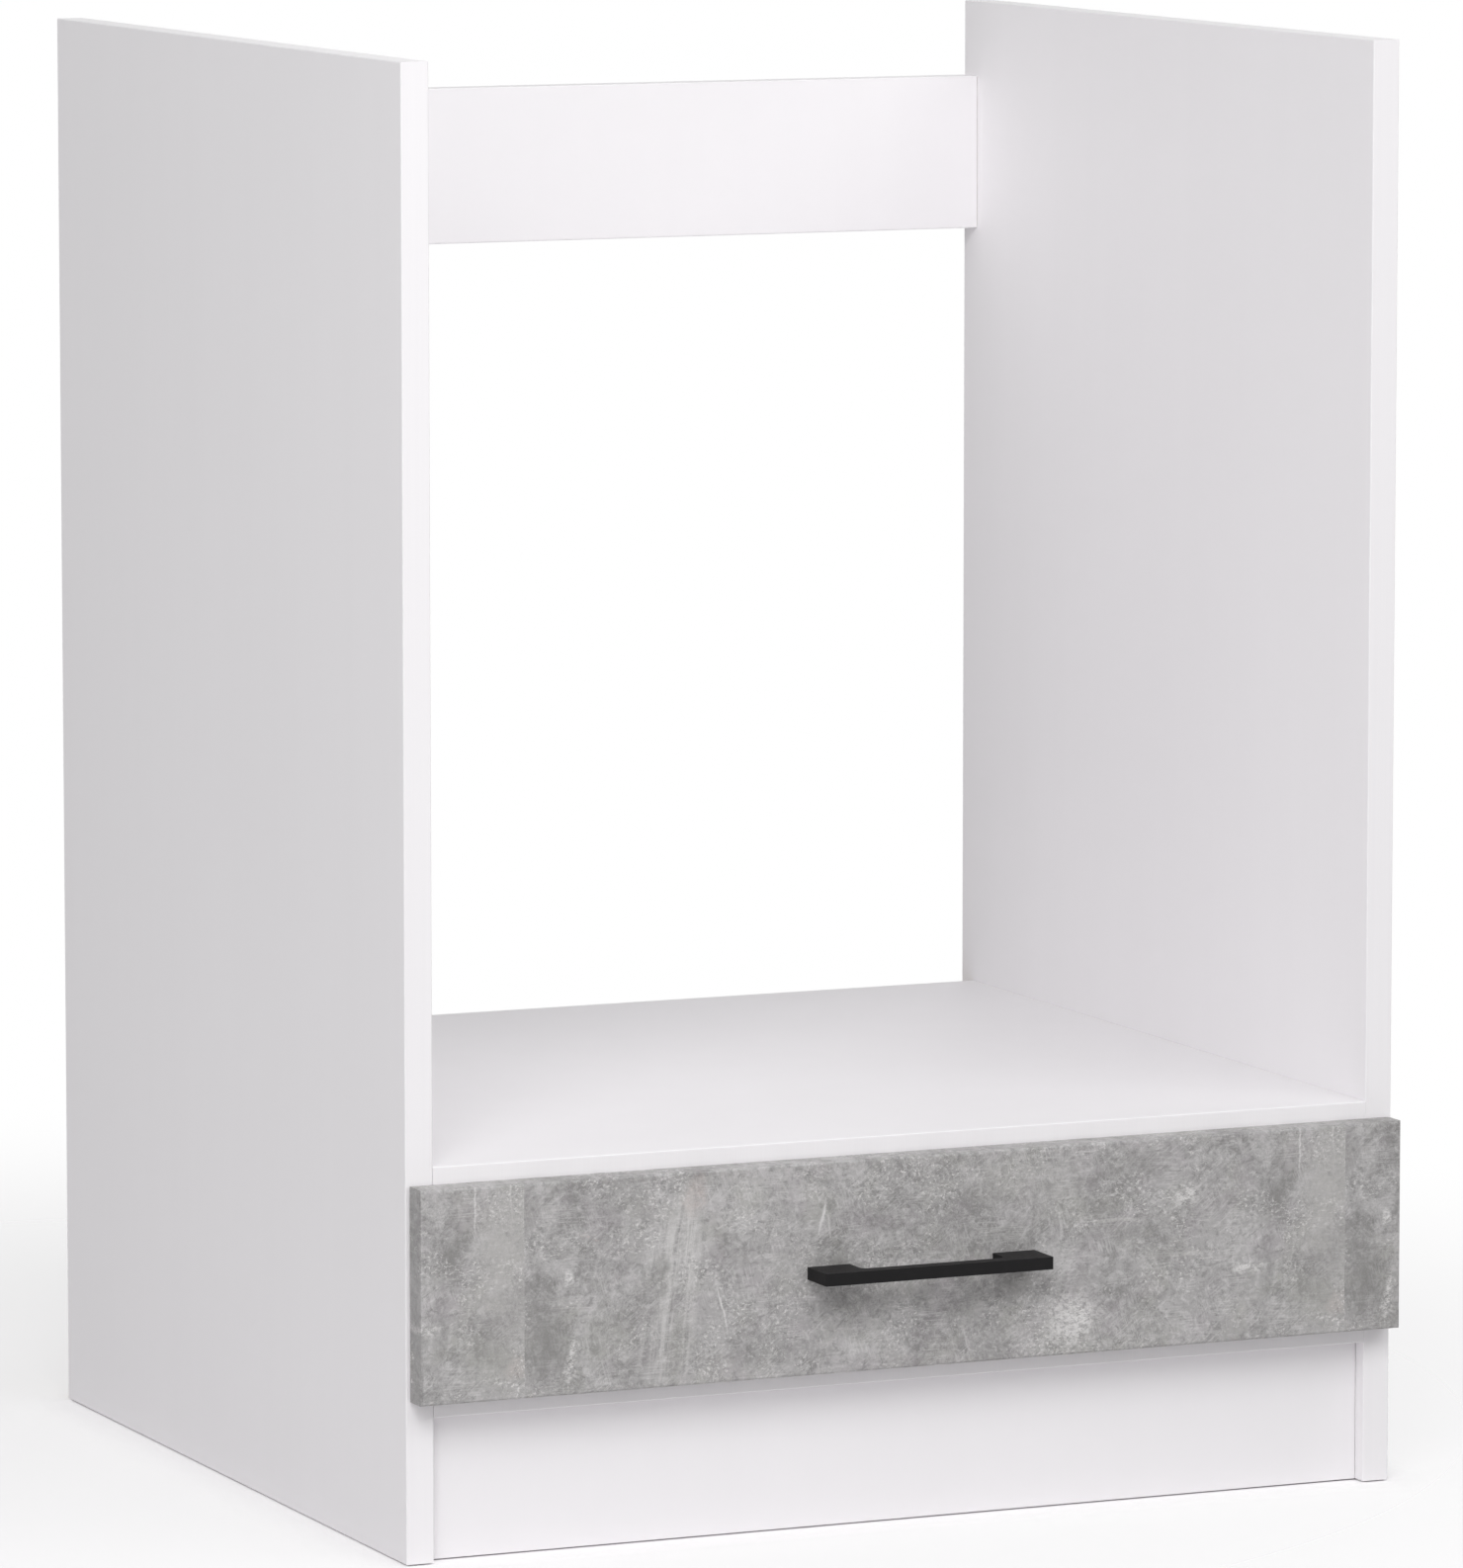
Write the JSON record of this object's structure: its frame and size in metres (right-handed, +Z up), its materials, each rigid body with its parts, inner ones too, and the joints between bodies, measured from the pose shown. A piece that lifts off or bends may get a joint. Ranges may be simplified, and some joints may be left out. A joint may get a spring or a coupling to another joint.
{
  "type": "kitchen base cabinet",
  "caption": "Kitchen base cabinet for a built-in oven: open niche over a low drawer on roller runners, with a bar handle and a recessed plinth.",
  "frame": {"origin": "on the floor, under the middle of the closed cabinet's outline from the handle to the back edges", "axes": "+X to the right seen from the front, +Y to the back, so the drawer opens towards -Y, +Z up"},
  "size_m": [0.6, 0.578, 0.816],
  "materials": {
    "melamine_white": "chipboard with a satin white melamine face",
    "edge_white": "satin white edge band",
    "concrete_laminate": "matt board with a grey concrete decor",
    "foil_white": "chipboard wrapped in a satin white foil",
    "fibreboard_white": "thin fibreboard, lacquered white above",
    "handle_black": "matt black coating",
    "runner_epoxy": "sheet steel with a cream-white epoxy coat",
    "roller_nylon": "natural nylon",
    "zinc_steel": "zinc-plated steel",
    "zinc_cast": "plain zinc casting",
    "beech_wood": "turned beech",
    "block_plastic": "moulded white plastic",
    "bumper_soft": "soft clear plastic"
  },
  "bodies": {
    "carcass": {"left_side_panel": "melamine_white", "right_side_panel": "melamine_white", "bottom_panel": "melamine_white", "oven_shelf": "melamine_white", "rear_rail": "melamine_white", "plinth_board": "melamine_white", "edge_bands": "edge_white", "fitting_bolts": "zinc_steel", "cam_locks": "zinc_cast", "carcass_dowels": "beech_wood", "plinth_blocks": "block_plastic", "plinth_block_screws": "zinc_steel", "cabinet_runner_left": "runner_epoxy", "cabinet_runner_right": "runner_epoxy", "cabinet_runner_screws": "zinc_steel", "front_roller_axles": "zinc_steel"},
    "drawer": {"drawer_front": "concrete_laminate", "front_bumpers": "bumper_soft", "handle": "handle_black", "handle_screws": "zinc_steel", "drawer_side_left": "foil_white", "drawer_side_right": "foil_white", "drawer_back": "foil_white", "drawer_bottom": "fibreboard_white", "drawer_fitting_bolts": "zinc_steel", "drawer_cam_locks": "zinc_cast", "drawer_dowels": "beech_wood", "drawer_back_screws": "zinc_steel", "drawer_bottom_screws": "zinc_steel", "drawer_runner_left": "runner_epoxy", "drawer_runner_right": "runner_epoxy", "drawer_runner_screws": "zinc_steel", "rear_roller_axles": "zinc_steel"},
    "front_roller_left": {"front_roller_left": "roller_nylon"},
    "front_roller_right": {"front_roller_right": "roller_nylon"},
    "rear_roller_left": {"rear_roller_left": "roller_nylon"},
    "rear_roller_right": {"rear_roller_right": "roller_nylon"}
  },
  "joints": [
    {"name": "drawer_slide", "type": "slide", "parent": "carcass", "child": "drawer", "axis": [0, -1, 0], "range_m": [0, 0.35]},
    {"name": "front_roller_left_turn", "type": "hinge", "parent": "carcass", "child": "front_roller_left", "pos_m": [-0.2772, -0.231, 0.115], "axis": [1, 0, 0], "range_deg": [0, 2111]},
    {"name": "front_roller_right_turn", "type": "hinge", "parent": "carcass", "child": "front_roller_right", "pos_m": [0.2772, -0.231, 0.115], "axis": [1, 0, 0], "range_deg": [0, 2111]},
    {"name": "rear_roller_left_turn", "type": "hinge", "parent": "drawer", "child": "rear_roller_left", "pos_m": [-0.2772, 0.188, 0.116], "axis": [1, 0, 0], "range_deg": [0, 1910]},
    {"name": "rear_roller_right_turn", "type": "hinge", "parent": "drawer", "child": "rear_roller_right", "pos_m": [0.2772, 0.188, 0.116], "axis": [1, 0, 0], "range_deg": [0, 1910]}
  ],
  "couplings": [
    {"joint": "front_roller_left_turn", "follows": "drawer_slide", "rad_per_m": 105.26},
    {"joint": "front_roller_right_turn", "follows": "drawer_slide", "rad_per_m": 105.26},
    {"joint": "rear_roller_left_turn", "follows": "drawer_slide", "rad_per_m": 95.238},
    {"joint": "rear_roller_right_turn", "follows": "drawer_slide", "rad_per_m": 95.238}
  ]
}
